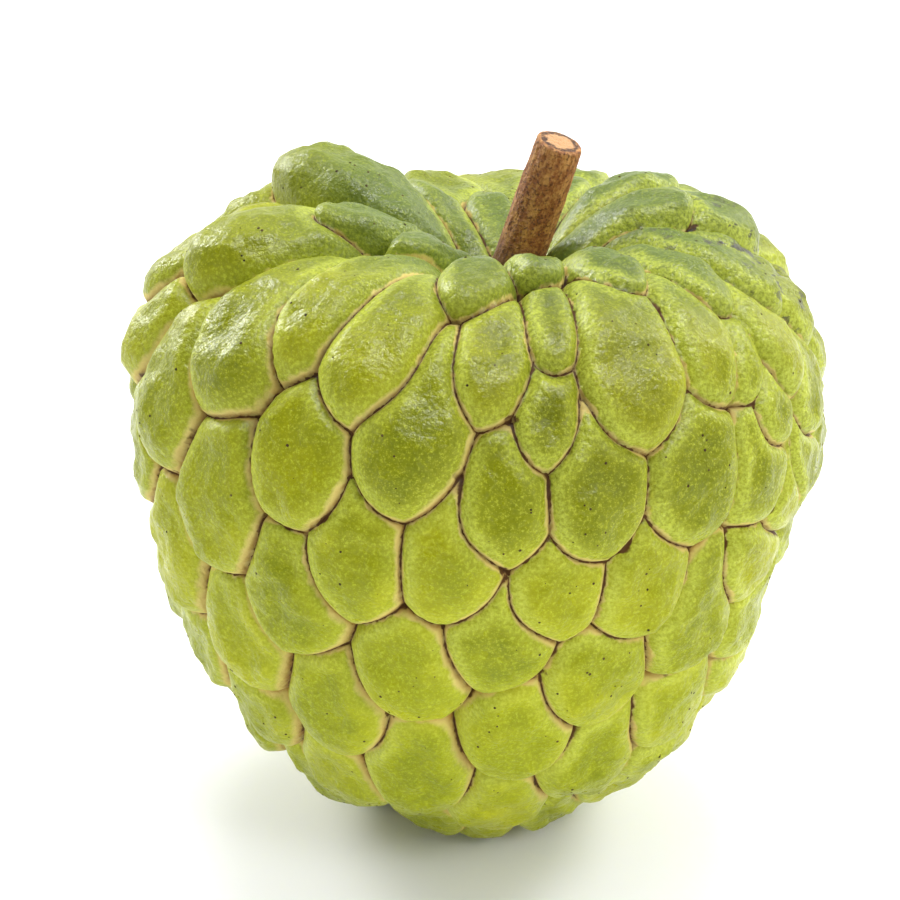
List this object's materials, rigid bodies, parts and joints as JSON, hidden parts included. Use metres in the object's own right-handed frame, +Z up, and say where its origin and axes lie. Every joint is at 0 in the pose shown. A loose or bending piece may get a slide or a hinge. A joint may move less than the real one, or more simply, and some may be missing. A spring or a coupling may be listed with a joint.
{
  "type": "custard apple",
  "caption": "Whole custard apple: a rounded, slightly heart-shaped green fruit covered in raised carpels, with a short woody stem, standing on a small flat spot.",
  "frame": {"origin": "middle of the flat spot that the fruit stands on, under its tip", "axes": "+Z up through the fruit from its tip to its stem end, -Y the front, +X the side that the stem leans to"},
  "size_m": [0.0896, 0.0907, 0.0945],
  "materials": {
    "carpel_skin": "yellow-green fruit skin, satin, with tan corky margins and dark creases between the carpels",
    "stem_wood": "rough reddish-brown bark with a pale tan cut end"
  },
  "bodies": {
    "root": {"fruit": "carpel_skin", "stem": "stem_wood"}
  },
  "joints": []
}
